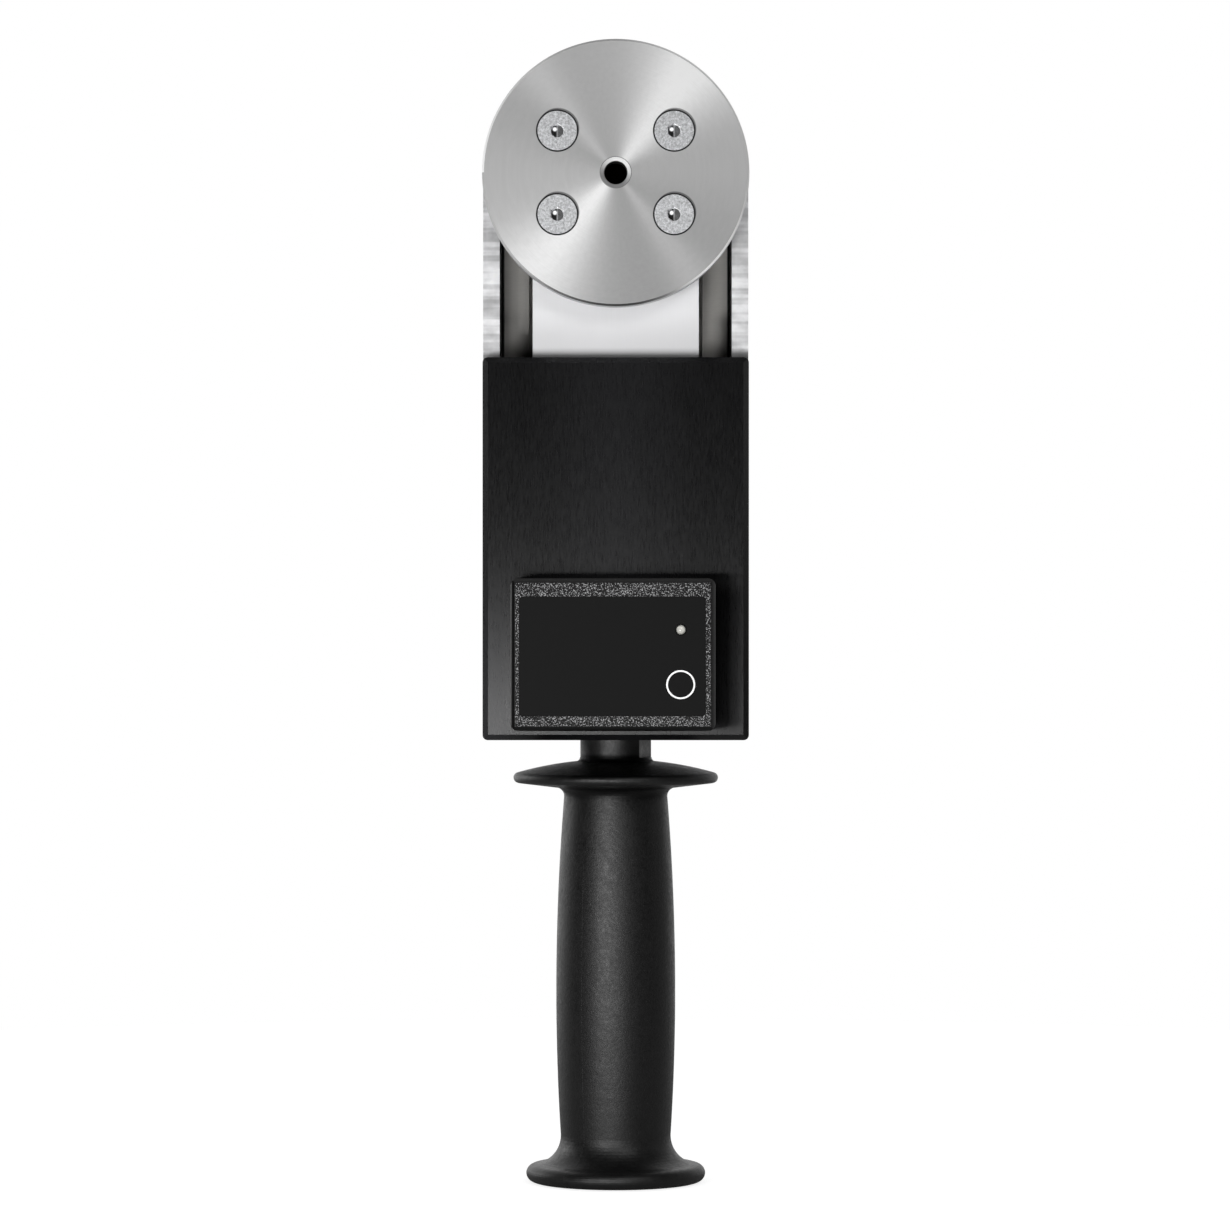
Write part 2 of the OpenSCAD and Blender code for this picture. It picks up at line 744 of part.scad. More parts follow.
module box_lid() {
    color("#1b1b1d") difference() {
        cushion_block(box_x - box_w / 2, box_x + box_w / 2, lid_y, base_y,
            box_mid_z - box_h / 2, box_mid_z + box_h / 2, box_corner_r, lid_edge_r);
        slab(lid_in_y, base_y + past) box_outline(box_wall);
        slab(lid_y - past, lid_y + label_recess) label_outline(0.1);
        rod(key_mid_x, box_mid_z + key_z, key_d / 2 + key_gap, lid_y - past, lid_in_y + past);
        rod(led_mid_x, box_mid_z + led_z, led_d / 2 + key_gap, lid_y - past, lid_in_y + past);
    }
}

module label_outline(spare) {
    round_rect(label_x - label_w / 2 - spare, box_mid_z + label_rise - label_h / 2 - spare,
        label_x + label_w / 2 + spare, box_mid_z + label_rise + label_h / 2 + spare,
        label_corner_r + spare);
}

module label_foil() {
    color("#212121") difference() {
        slab(lid_y + label_recess - label_t, lid_y + label_recess) label_outline(0);
        rod(key_mid_x, box_mid_z + key_z, key_d / 2 + key_gap, lid_y - past, lid_in_y);
        rod(led_mid_x, box_mid_z + led_z, led_d / 2 + key_gap, lid_y - past, lid_in_y);
    }
}

module box_fixing_screws() {
    color("#3a3a3c") from_rear(cover_in_y) at_fixing_screws()
        sunk_screw(fixing_screw_d, fixing_screw_l);
}

module main_board() {
    color("#1f5c3a") difference() {
        block([box_x - board_w / 2, board_y, box_mid_z - board_h / 2],
            [box_x + board_w / 2, board_back_y, box_mid_z + board_h / 2]);
        at_board_screws()
            rod(0, 0, board_screw_r + hole_gap, board_y - past, board_back_y + past);
    }
}

module board_screws() {
    color("silver") at_board_screws() {
        rod(0, 0, board_head_r, board_y - board_head_h, board_y);
        rod(0, 0, board_screw_r, board_y, board_back_y + board_screw_grip);
    }
}

// Amplifier, converter and processor on the front of the board.
module board_chips() {
    chips = [[-3, -9, 7, 7], [7, -9, 5, 6.4], [6, 4, 4, 5]];
    chip_t = 1.2;
    color("#2a2a2c") for (c = chips)
        block([box_x + c[0] - c[2] / 2, board_y - chip_t, box_mid_z + c[1] - c[3] / 2],
            [box_x + c[0] + c[2] / 2, board_y, box_mid_z + c[1] + c[3] / 2]);
}

module radio_module() {
    color("#c9c9c9")
        block([box_x - 22, board_y - 2.2, box_mid_z - 4], [box_x - 8, board_y, box_mid_z + 8]);
}

module lead_connector() {
    color("#e6e2d6") block(
        [lead_x - connector_w / 2, board_back_y, lead_hole_z - connector_h / 2],
        [lead_x + connector_w / 2, board_back_y + connector_d, lead_hole_z + connector_h / 2]);
}

module battery_holder() {
    half = cell_d / 2 + holder_wall;
    rear = board_back_y + holder_d;
    z = box_mid_z + battery_z;
    color("#26262a") difference() {
        block([battery_x - half, board_back_y, z - half], [battery_x + half, rear, z + half]);
        rod(battery_x, z, cell_d / 2 + 0.1, board_back_y + holder_floor, rear + past);
    }
}

module battery() {
    front = board_back_y + holder_floor;
    color("#cfcfcf") rod(battery_x, box_mid_z + battery_z, cell_d / 2, front, front + cell_t);
}

module tact_switch() {
    z = box_mid_z + key_z;
    color("#303033") difference() {
        block([key_mid_x - switch_w / 2, switch_y, z - switch_w / 2],
            [key_mid_x + switch_w / 2, board_y, z + switch_w / 2]);
        rod(key_mid_x, z, plunger_r + plunger_gap, switch_y - past, board_y - 0.3);
    }
}

module status_led() {
    r = led_d / 2;
    z = box_mid_z + led_z;
    flange_y = board_y - led_flange_rise;
    color("#d9dcdf") {
        rod(led_mid_x, z, r, lid_y - 0.5 + r, flange_y);
        rod(led_mid_x, z, r + 0.4, flange_y - led_flange_t, flange_y);
        translate([led_mid_x, lid_y - 0.5 + r, z]) sphere(r, $fn = 32);
        for (sx = [-1, 1])
            block([led_mid_x + sx * 1.0 - 0.25, flange_y, z - 0.25],
                [led_mid_x + sx * 1.0 + 0.25, board_y, z + 0.25]);
    }
}

// Moving head

module contact_disc() {
    r = disc_d / 2;
    mouth = (thread_mouth_d - thread_hole_d) / 2;
    back_chamfer = 0.3;
    color("#c4c6c8") difference() {
        translate([0, face_y, disc_z]) rotate([-90, 0, 0]) rotate_extrude($fn = 180) polygon([
            [thread_mouth_d / 2, 0], [r - disc_chamfer, 0], [r, disc_chamfer],
            [r, disc_t - back_chamfer], [r - back_chamfer, disc_t],
            [thread_hole_d / 2, disc_t], [thread_hole_d / 2, mouth]
        ]);
        translate([0, face_y, 0]) at_disc_screws() sunk_hole(disc_screw_d, disc_t + past);
    }
}

module disc_screws() {
    color("#b7b9bb") translate([0, face_y, 0]) at_disc_screws()
        sunk_screw(disc_screw_d, disc_screw_l);
}

module head_pad() {
    color("#b9bbbe") difference() {
        slab(disc_back_y, leaf_y) head_outline(leaf_w, head_z, head_top_z, head_clip);
        at_disc_screws() rod(0, 0, disc_screw_d / 2 + hole_gap, disc_back_y - past, leaf_y + past);
        rod(0, disc_z, relief_r, disc_back_y - past, leaf_y + past);
    }
}

module head_block() {
    color("#b9bbbe") difference() {
        slab(block_y, rear_leaf_y) head_outline(leaf_w, head_z, head_top_z, head_clip);
        at_disc_screws() rod(0, 0, disc_screw_d / 2 + thread_gap, block_y - past,
            face_y + disc_screw_l + 0.5);
        at_disc_screws() rod(0, 0, clamp_screw_d / 2 + thread_gap,
            head_back_y - clamp_screw_l - 0.5, rear_leaf_y + past);
        rod(0, disc_z, relief_r, block_y - past, block_y + relief_depth);
    }
}

module head_clamp_plate() {
    color("#b9bbbe") difference() {
        slab(rear_clamp_y, head_back_y) head_outline(leaf_w, head_z, head_top_z, head_clip);
        from_rear(head_back_y) at_disc_screws() sunk_hole(clamp_screw_d, clamp_t + past);
    }
}

module head_clamp_screws() {
    color("#3a3a3c") from_rear(head_back_y) at_disc_screws()
        sunk_screw(clamp_screw_d, clamp_screw_l);
}

// Key

module key_cap() {
    z = box_mid_z + key_z;
    color("#212121") {
        rod(key_mid_x, z, key_d / 2, lid_y + label_recess - label_t, key_flange_y - key_flange_t);
        rod(key_mid_x, z, key_flange_r, key_flange_y - key_flange_t, key_flange_y);
    }
}

module switch_plunger() {
    z = box_mid_z + key_z;
    color("#8b8b8e") rod(key_mid_x, z, plunger_r, key_flange_y, switch_y + 1);
}

frame_channel();
front_cover();
cover_standoffs();
cover_screws();
handle();
handle_stud();
anchor_block();
anchor_spacer();
anchor_screws();
root_clamp_plate();
root_clamp_screws();
spring_leaf_front();
spring_leaf_rear();
stop_screws();
strain_gauges();
gauge_terminal();
gauge_lead();
lead_grommet();
box_base();
box_lid();
box_fixing_screws();
label_foil();
main_board();
board_screws();
board_chips();
radio_module();
lead_connector();
battery_holder();
battery();
tact_switch();
status_led();
contact_disc();
disc_screws();
head_pad();
head_block();
head_clamp_plate();
head_clamp_screws();
key_cap();
switch_plunger();
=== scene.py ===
"""Looks of a closing force gauge: turned contact disc, milled frame, leaf springs, black cover
with its electronics box, and a moulded handle."""

import math

import bmesh
import bpy
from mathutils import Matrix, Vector

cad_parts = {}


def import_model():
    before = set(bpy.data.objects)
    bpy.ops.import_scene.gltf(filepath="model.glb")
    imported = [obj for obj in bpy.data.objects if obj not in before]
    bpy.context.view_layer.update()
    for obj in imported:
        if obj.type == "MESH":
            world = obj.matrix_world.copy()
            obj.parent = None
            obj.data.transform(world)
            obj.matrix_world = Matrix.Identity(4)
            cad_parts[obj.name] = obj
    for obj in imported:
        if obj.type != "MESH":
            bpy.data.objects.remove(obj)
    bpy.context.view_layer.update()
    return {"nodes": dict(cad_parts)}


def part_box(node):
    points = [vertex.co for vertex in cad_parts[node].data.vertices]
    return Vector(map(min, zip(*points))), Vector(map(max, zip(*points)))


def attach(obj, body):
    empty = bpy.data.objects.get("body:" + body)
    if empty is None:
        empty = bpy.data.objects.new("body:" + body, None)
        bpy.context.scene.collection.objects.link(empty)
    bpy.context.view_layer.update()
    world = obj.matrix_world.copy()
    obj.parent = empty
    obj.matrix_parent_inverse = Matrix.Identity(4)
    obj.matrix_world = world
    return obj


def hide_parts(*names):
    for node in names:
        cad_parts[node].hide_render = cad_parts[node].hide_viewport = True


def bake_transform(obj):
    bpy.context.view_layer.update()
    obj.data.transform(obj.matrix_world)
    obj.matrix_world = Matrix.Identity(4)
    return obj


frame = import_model()
NODES = frame["nodes"]
MM = 0.001

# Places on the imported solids, in metres. Z is up, and the disc faces -Y.
DISC_LOW, DISC_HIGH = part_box("contact_disc")
FRAME_LOW, FRAME_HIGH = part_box("frame_channel")
COVER_LOW, COVER_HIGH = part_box("front_cover")
LID_LOW, LID_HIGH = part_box("box_lid")
KEY_LOW, KEY_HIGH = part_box("key_cap")
SCREWS_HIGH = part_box("disc_screws")[1]
ANCHOR_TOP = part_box("anchor_block")[1].z
HEAD_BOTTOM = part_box("head_block")[0].z
DISC_Z = (DISC_HIGH.z + DISC_LOW.z) / 2
ROUND_TOP_Z = FRAME_HIGH.z - FRAME_HIGH.x  # the middle of the frame's half round
COVER_TOP = COVER_HIGH.z
WALL_X = 35.0 * MM  # the inner faces of the frame's side walls
GUARD_Z = 122.5 * MM  # the rim of the handle's guard

# Radii on the disc, and how far the middles of its screws lie aside, above and below its own.
THREAD_R = 3.45 * MM
MOUTH_R = 4.8 * MM
RIM_R = 38.0 * MM
SCREW_R = 5.9 * MM
SCREW_X = SCREWS_HIGH.x - SCREW_R
SCREW_UP = SCREWS_HIGH.z - DISC_Z - SCREW_R


class Value:
    """A number or colour that changes over a surface. Sums and products add Math nodes."""

    def __init__(self, shading, socket):
        self.shading = shading
        self.socket = socket

    def beside(self, name):
        """Another output of the same node."""
        return Value(self.shading, self.socket.node.outputs[name])

    def math(self, operation, *others):
        return self.shading.math(operation, self, *others)

    def __add__(self, other):
        return self.math("ADD", other)

    __radd__ = __add__

    def __sub__(self, other):
        return self.math("SUBTRACT", other)

    def __rsub__(self, other):
        return self.shading.math("SUBTRACT", other, self)

    def __mul__(self, other):
        return self.math("MULTIPLY", other)

    __rmul__ = __mul__

    def __truediv__(self, other):
        return self.math("DIVIDE", other)

    def __rtruediv__(self, other):
        return self.shading.math("DIVIDE", other, self)

    def __abs__(self):
        return self.math("ABSOLUTE")

    def swing(self, amount):
        """Noise from 0 to 1, made to swing round 0 by this much in all."""
        return (self - 0.5) * amount

    def ramp_up(self, low, high):
        """0 below low, 1 above high, and a soft step between them."""
        return self.shading.node(
            "ShaderNodeMapRange",
            {"interpolation_type": "SMOOTHSTEP"},
            {"Value": self, "From Min": low, "From Max": high},
        )

    def ramp_down(self, low, high):
        """1 below low, 0 above high, and a soft step between them."""
        return 1 - self.ramp_up(low, high)

    def band(self, start, full, fade, end):
        """1 from full to fade, and 0 below start and above end."""
        return self.ramp_up(start, full) * self.ramp_down(fade, end)


class Shading:
    """A node tree in the making."""

    def __init__(self, tree):
        self.tree = tree

    def node(self, kind, settings=None, inputs=None, out=0):
        """Adds a node: its settings first, then the values or links of its sockets."""
        made = self.tree.nodes.new(kind)
        for key, setting in (settings or {}).items():
            if key == "stops":
                self.set_stops(made.color_ramp, setting)
            else:
                setattr(made, key, setting)
        for key, value in (inputs or {}).items():
            self.feed(made.inputs[key], value)
        return Value(self, made.outputs[out])

    def feed(self, socket, value):
        """Links a Value to the socket, or sets the socket to a plain number or colour."""
        if isinstance(value, Value):
            self.tree.links.new(value.socket, socket)
        elif isinstance(value, (tuple, list)) and len(value) == 3 and socket.type == "RGBA":
            socket.default_value = (*value, 1.0)
        else:
            socket.default_value = value

    @staticmethod
    def set_stops(ramp, stops):
        """Soft stops of grey. The two stops that a new ramp has are removed at the end."""
        ramp.interpolation = "B_SPLINE"
        for place, level in stops:
            made = ramp.elements.new(place)
            made.color = (level, level, level, 1.0)
        ramp.elements.remove(ramp.elements[0])
        ramp.elements.remove(ramp.elements[-1])

    def math(self, operation, *values):
        return self.node("ShaderNodeMath", {"operation": operation}, dict(enumerate(values)))


class Finish(Shading):
    """A material in the making: surface() connects its shader."""

    def __init__(self, name):
        self.material = bpy.data.materials.new(name)
        self.material.use_nodes = True
        super().__init__(self.material.node_tree)
        self.shader = self.tree.nodes["Principled BSDF"]
        self.place = self.node("ShaderNodeTexCoord", out="Object")
        self.x = self.node("ShaderNodeSeparateXYZ", inputs={"Vector": self.place}, out="X")
        self.y = self.x.beside("Y")
        self.z = self.x.beside("Z")

    def vector(self, x, y=0.0):
        return self.node("ShaderNodeCombineXYZ", inputs={"X": x, "Y": y})

    def stretched(self, stretch):
        """The place on the object, with each axis scaled."""
        return self.node(
            "ShaderNodeVectorMath", {"operation": "MULTIPLY"}, {0: self.place, 1: stretch}
        )

    def noise(self, size, stretch=(1, 1, 1), detail=3.0, roughness=0.55, place=None):
        """Noise from 0 to 1 whose blotches are about this many millimetres wide."""
        return self.node(
            "ShaderNodeTexNoise",
            inputs={
                "Vector": place or self.stretched(stretch),
                "Scale": 1 / (size * MM),
                "Detail": detail,
                "Roughness": roughness,
            },
        )

    def mix(self, mask, colour_a, colour_b):
        """colour_a where the mask is 0, colour_b where it is 1."""
        return self.node(
            "ShaderNodeMix", {"data_type": "RGBA"}, {0: mask, 6: colour_a, 7: colour_b}, out=2
        )

    def tint(self, level, colour):
        """A colour made lighter and darker by a number round 1."""
        return self.node(
            "ShaderNodeVectorMath", {"operation": "SCALE"}, {0: colour, "Scale": level}
        )

    def bump(self, height, depth, under=None):
        """A bump of this depth in millimetres, on top of another."""
        inputs = {"Height": height, "Distance": depth * MM}
        if under:
            inputs["Normal"] = under
        return self.node("ShaderNodeBump", inputs=inputs)

    def facing(self, axis):
        """How far the surface faces along X, Y or Z, from -1 to 1."""
        normal = self.node("ShaderNodeNewGeometry", out="Normal")
        return self.node("ShaderNodeSeparateXYZ", inputs={"Vector": normal}, out=axis)

    def glow(self, light):
        """Gives off a little light of its own."""
        self.feed(self.shader.inputs["Emission Color"], light)
        self.shader.inputs["Emission Strength"].default_value = 1.0

    def surface(self, base, rough, metal=0.0, bump=None, **constants):
        """Connects the shader. A constant is named as its socket, with _ for each space."""
        self.feed(self.shader.inputs["Base Color"], base)
        self.feed(self.shader.inputs["Roughness"], rough)
        self.feed(self.shader.inputs["Metallic"], metal)
        if bump:
            self.feed(self.shader.inputs["Normal"], bump)
        for key, value in constants.items():
            self.shader.inputs[key.replace("_", " ")].default_value = value
        return self.material


def grey(value):
    """Linear light of a grey written from 0 to 255."""
    part = value / 255
    return part / 12.92 if part <= 0.04045 else ((part + 0.055) / 1.055) ** 2.4


def tone(red, green, blue):
    """Linear light of a colour written from 0 to 255."""
    return tuple(grey(part) for part in (red, green, blue))


# Where a place lies, for the finishes

def distance(across, up):
    return (across * across + up * up).math("SQRT")


def from_disc_middle(f):
    """How far a place is above the disc's middle, and away from its axis."""
    up = f.z - DISC_Z
    return up, distance(f.x, up)


def from_nearest_screw(f):
    """How far a place on the disc is beside, above and away from the nearest screw's middle."""
    up = f.z - DISC_Z
    beside = f.x - f.x.math("SIGN") * SCREW_X
    above = up - up.math("SIGN") * SCREW_UP
    return beside, above, distance(beside, above)


def clear_of_cover(f, least, reach=3.4 * MM):
    """1, and down to least in the last few millimetres above the cover: painted shade of the
    cover.
    """
    above = f.z.ramp_up(COVER_TOP + 0.5 * MM, COVER_TOP + reach)
    return above * (1 - least) + least


# Finishes that the photograph shows

BETWEEN_FANS = 0.44
# Each painted fan of reflected light on the disc: its angle from +X in degrees, how much lighter,
# how narrow.
FANS = (
    (54, 0.41, 13), (231, 0.53, 12), (129, 0.12, 60), (306, 0.13, 70),
    (184, 0.11, 9), (0, 0.05, 12), (100, 0.025, 8),
)
# Painted reflection of what the disc's chamfer mirrors: greys once round it, from the left by way
# of the bottom.
CHAMFER_GREYS = (
    (0.0, 170), (0.12, 210), (0.17, 110), (0.25, 40), (0.31, 80), (0.35, 255), (0.40, 240),
    (0.46, 190), (0.55, 180), (0.68, 200), (0.75, 130), (0.85, 170), (1.0, 170),
)
RING_PITCH = 0.32 * MM
# Painted shade in the countersinks round the screws.
COUNTERSINK_SHADE = tone(74, 74, 75)


def turned_aluminium():
    """A faced disc: fine rings, and painted fans of the light that rings throw."""
    f = Finish("turned_aluminium")
    up, radius = from_disc_middle(f)
    level = BETWEEN_FANS
    for degrees, lighter, narrow in FANS:
        turn = math.radians(degrees)
        towards = (f.x * math.cos(turn) + up * math.sin(turn)) / radius
        level = ((towards - 1) * narrow).math("EXPONENT") * lighter + level
    rings = f.noise(0.35, place=f.vector(radius))
    streaks = f.noise(0.9, place=f.vector(f.x / radius * 0.02, radius * 0.6))
    # Painted light: a little lighter towards the top and the right.
    shade = rings.swing(0.14) + streaks.swing(0.12) + 1.06 + up * 4.0 + f.x
    # The face, the chamfer round it, and the hole's own chamfer and wall.
    forward = f.facing("Y")
    face = forward.ramp_down(-0.97, -0.9)
    chamfer = (1 - face) * forward.ramp_down(-0.3, -0.2)
    outer = radius.ramp_up(RIM_R, RIM_R + 1.0 * MM)
    mouth = radius.ramp_down(MOUTH_R, MOUTH_R + 0.2 * MM)
    bore = radius.ramp_down(THREAD_R, THREAD_R + 0.15 * MM)
    angle = up.math("ARCTAN2", f.x) / math.tau + 0.5
    stops = [(place, grey(value)) for place, value in CHAMFER_GREYS]
    rim = f.node("ShaderNodeValToRGB", {"stops": stops}, {"Fac": angle})
    # Painted highlight and shade: the hole's mouth is lightest above, inside a thin dark line.
    mouth_light = ((f.x * 0.4 + up) / radius).ramp_up(-0.7, 1.1) * 0.62 + 0.26
    outline = radius.ramp_down(MOUTH_R - 0.1 * MM, MOUTH_R + 0.1 * MM) * 0.6
    sunk = f.mix(outer, COUNTERSINK_SHADE, rim)
    edge = f.mix(chamfer, tone(196, 197, 199), f.mix(mouth, sunk, mouth_light))
    # Painted shade: each countersink shows as a thin dark line, widest above and to the right.
    beside, above, away = from_nearest_screw(f)
    lean = ((beside * 0.5 + above * 0.85) / away).ramp_up(0.1, 1.0)
    line = (away - lean * 0.45 * MM).ramp_down(SCREW_R + 0.3 * MM, SCREW_R + 0.6 * MM)
    dark = (line * (0.9 - lean * 0.2)).math("MAXIMUM", outline)
    turned = f.mix(dark, level, COUNTERSINK_SHADE)
    # Painted shade: the hole's wall is dark, as shade falls down the hole.
    lit = f.mix(bore, f.mix(face, edge, turned), tone(30, 30, 30))
    ridges = (radius * (math.tau / RING_PITCH)).math("SINE")
    return f.surface(
        f.tint(shade, lit),
        0.63 + rings.swing(0.12),
        1 - (1 - face) * (outer + mouth) * 0.8,
        f.bump(ridges * face, 0.001, f.bump(rings, 0.004)),
    )


def bright_screw():
    """Bare steel screw heads with a few flat marks, and painted light, as a glow, down in their
    sockets.
    """
    f = Finish("bright_screw")
    marks = f.noise(0.8, detail=3.0, roughness=0.7)
    fine = f.noise(0.25)
    # Painted light, as a glow: what the socket's walls pass on, a spot at the upper left of its
    # floor, a thin line down the middle, and a light wall at the right.
    beside, above, _ = from_nearest_screw(f)
    inside = f.y.ramp_up(DISC_LOW.y + 0.35 * MM, DISC_LOW.y + 0.6 * MM)
    bottom = f.facing("Y").ramp_down(-0.9, -0.5)
    spot = distance(beside + 0.75 * MM, above - 0.6 * MM).ramp_down(0.25 * MM, 0.85 * MM)
    glint = abs(beside).ramp_down(0.1 * MM, 0.35 * MM) * 0.15
    ground = spot * 0.8 + beside.ramp_up(-0.2 * MM, 0.6 * MM) * 0.06 + glint + fine * 0.02
    wall = f.facing("X").ramp_down(-0.45, -0.2) * 0.5
    f.glow(f.tint((wall + bottom * (ground - wall)) * inside, (1, 1, 1)))
    return f.surface(
        f.tint(0.78 + marks.swing(1.3) + fine.swing(0.7), tone(236, 237, 239)),
        0.56 + fine * 0.15,
        1.0,
        f.bump(marks, 0.1, f.bump(fine, 0.02)),
    )


def milled_aluminium():
    """The frame: milled bands on its front edges, a pocket with painted shade and light, brushed
    satin outside.
    """
    f = Finish("milled_aluminium")
    front = f.y.ramp_down(FRAME_LOW.y + 0.1 * MM, FRAME_LOW.y + 0.4 * MM)
    aside = abs(f.x)
    sideways = f.facing("X")
    forward = f.facing("Y")
    # The pocket's faces look forward or towards the middle of the round top.
    up = f.z - ROUND_TOP_Z
    inwards = (sideways * f.x + f.facing("Z") * up) / distance(f.x, up)
    hollow = forward.ramp_down(-0.6, -0.4).math("MAXIMUM", inwards.ramp_down(-0.6, -0.3))
    pocket = hollow * aside.ramp_down(WALL_X + 0.2 * MM, WALL_X + 0.4 * MM) * (1 - front)
    # Painted shade and light: in the pocket the side walls and the floor next to them are dark,
    # and the floor is lightest in the middle of a slot.
    corner = abs(sideways).ramp_up(0.5, 0.8) + aside.ramp_up(WALL_X - 1.1 * MM, WALL_X - 0.5 * MM)
    upright = corner.math("MINIMUM", 1.0) * pocket
    mid_slot = aside.band(26.5 * MM, 30.0 * MM, 31.0 * MM, WALL_X - 0.5 * MM)
    bands = f.noise(2.2, (0.05, 1, 1), detail=1.5, roughness=0.5)
    patches = f.noise(4.0, (0.5, 1, 0.7), detail=3.0)
    brushed = f.noise(0.5, (1, 1, 0.03), detail=3.0, roughness=0.65)
    cloud = f.noise(22.0, detail=1.0)
    fine = f.noise(0.3, (0.15, 1, 1))
    cut = bands.ramp_up(0.36, 0.62) * 0.26 + patches.swing(0.8)
    # Painted shade: the front edges darken just above the cover.
    milled = f.tint((0.76 + cut) * clear_of_cover(f, 0.6), tone(243, 243, 244))
    satin = f.tint(0.94 + brushed.swing(0.3) + cloud.swing(0.12), tone(222, 223, 225))
    # Painted light and shade on the slot floor: lighter in the middle of a slot and towards the
    # right, darker for the last 8 mm above the cover.
    dim = (mid_slot * 0.4 + 1.0 + f.x * 8.0) * clear_of_cover(f, 0.35, 8.0 * MM)
    floor_grey = f.tint(dim * (0.95 + fine.swing(0.12)), tone(202, 200, 196))
    outside = f.mix(front, f.mix(pocket, satin, floor_grey), milled)
    # Painted light, as a glow: what the leaf and the walls pass on into the slots, a little above
    # the cover.
    passed = f.z.band(
        COVER_TOP + 2.0 * MM, COVER_TOP + 11.0 * MM, COVER_TOP + 11.0 * MM, COVER_TOP + 18.0 * MM
    )
    slot_floor = pocket * (1 - upright) * forward.ramp_down(-0.95, -0.8)
    f.glow(f.tint(passed * slot_floor * (0.3 + mid_slot) * 0.075, (1, 0.98, 0.94)))
    return f.surface(
        f.mix(upright, outside, tone(24, 24, 24)),
        0.5 + front * 0.22 + pocket * 0.08 + brushed.swing(0.2),
        1.0,
        f.bump(bands * front, 0.03, f.bump(brushed * (1 - front), 0.008)),
    )


def ground_steel():
    """The leaves: ground along their length."""
    f = Finish("ground_steel")
    lines = f.noise(0.35, (1, 1, 0.03))
    cloud = f.noise(14.0, detail=1.0)
    # Painted light: lighter up towards the disc. Painted shade: darker just above the cover.
    upper = f.z.ramp_up(COVER_TOP + 4.0 * MM, DISC_LOW.z)
    shade = 1.04 + upper * 0.12 + lines.swing(0.05) + cloud.swing(0.05)
    base = f.tint(shade * clear_of_cover(f, 0.55), tone(232, 232, 233))
    return f.surface(base, 0.72 + lines.swing(0.1), 1.0, f.bump(lines, 0.003))


def brushed_black():
    """The cover: black, brushed from end to end, so that its gleam spreads sideways."""
    f = Finish("brushed_black")
    lines = f.noise(0.3, (1, 1, 0.1), detail=2.0, roughness=0.7)
    broad = f.noise(6.0, (1, 1, 0.4), detail=3.0)
    grain = f.noise(0.4, detail=2.0)
    # Greyer down the middle, and a painted sheen, lightest at the lower left.
    greyer_middle = abs(f.x).ramp_down(0, 30 * MM)
    painted_sheen = f.x.ramp_down(-40 * MM, -22 * MM) * f.z.ramp_down(
        COVER_LOW.z + 10 * MM, COVER_LOW.z + 60 * MM
    )
    shade = 1.0 + greyer_middle * 1.5 + painted_sheen * 4.0 + lines.swing(0.5) + broad.swing(0.9)
    # Painted shade of the box on the strip to its right: as metal, so dark a base has no gleam.
    shaded = f.x.band(28 * MM, 30 * MM, 36 * MM, 39.5 * MM) * f.z.band(
        LID_LOW.z - 1 * MM, LID_LOW.z + 3 * MM, LID_HIGH.z - 6 * MM, LID_HIGH.z
    )
    return f.surface(
        f.tint(shade * (1 + grain.swing(0.9)), tone(11, 11, 12)),
        0.31 + lines.swing(0.28),
        shaded * 0.6,
        f.bump(lines, 0.014),
        Anisotropic=0.8,
        Specular_IOR_Level=0.4,
    )


PARTING_TURN = math.radians(35)
PARTING_TOP = 100 * MM


def moulded_black():
    """The handle: satin black plastic, with the mould's parting line down both sides, and painted
    shade round its guard.
    """
    f = Finish("moulded_black")
    fine = f.noise(1.1, detail=4.0, roughness=0.75)
    cloud = f.noise(5.0, detail=4.0, roughness=0.65)
    across = abs(f.x * math.cos(PARTING_TURN) - f.y * math.sin(PARTING_TURN))
    seam = across.ramp_down(0.05 * MM, 0.2 * MM) * f.z.ramp_down(
        PARTING_TOP - 8 * MM, PARTING_TOP
    )
    # Painted shade in two places: the guard's top below the cover, and the corner under the
    # guard. As metal, so dark a base has no gleam there.
    guard_top = f.z.band(
        GUARD_Z, GUARD_Z + 2 * MM, GUARD_Z + 6.5 * MM, GUARD_Z + 8 * MM
    ) * abs(f.x).ramp_down(7 * MM, 20 * MM)
    under_guard = f.z.band(
        GUARD_Z - 7 * MM, GUARD_Z - 4.5 * MM, GUARD_Z - 2.5 * MM, GUARD_Z - 1.5 * MM
    )
    return f.surface(
        f.tint(1.0 + cloud.swing(0.6) + fine.swing(1.2), tone(9, 9, 9)),
        0.46 + fine.swing(0.4) + cloud.swing(0.2),
        guard_top * 0.9 + under_guard * 0.6,
        f.bump(seam, 0.02, f.bump(fine, 0.09)),
        Specular_IOR_Level=0.47,
    )


def sparked_black():
    """The lid: coarse spark-eroded grain on its face, smooth round its edges."""
    f = Finish("sparked_black")
    face = f.facing("Y").ramp_down(-0.97, -0.92)
    grain = f.noise(0.37, detail=1.0, roughness=0.6)
    smooth = f.noise(0.4)
    # Painted highlights: the grain's peaks are light grey on the black face.
    sparked = f.mix(grain.ramp_up(0.54, 0.64), tone(5, 5, 5), tone(150, 150, 151))
    # Painted highlight: the edge is a little lighter above and to the right.
    lighter = (f.facing("X") + f.facing("Z")).ramp_up(0.1, 0.9)
    edge = f.mix(lighter, tone(8, 8, 8), tone(46, 46, 46))
    return f.surface(
        f.mix(face, edge, sparked),
        0.34 + face * 0.2 + smooth.swing(0.1),
        0.0,
        f.bump(grain * face, 0.25),
        Specular_IOR_Level=0.28,
    )


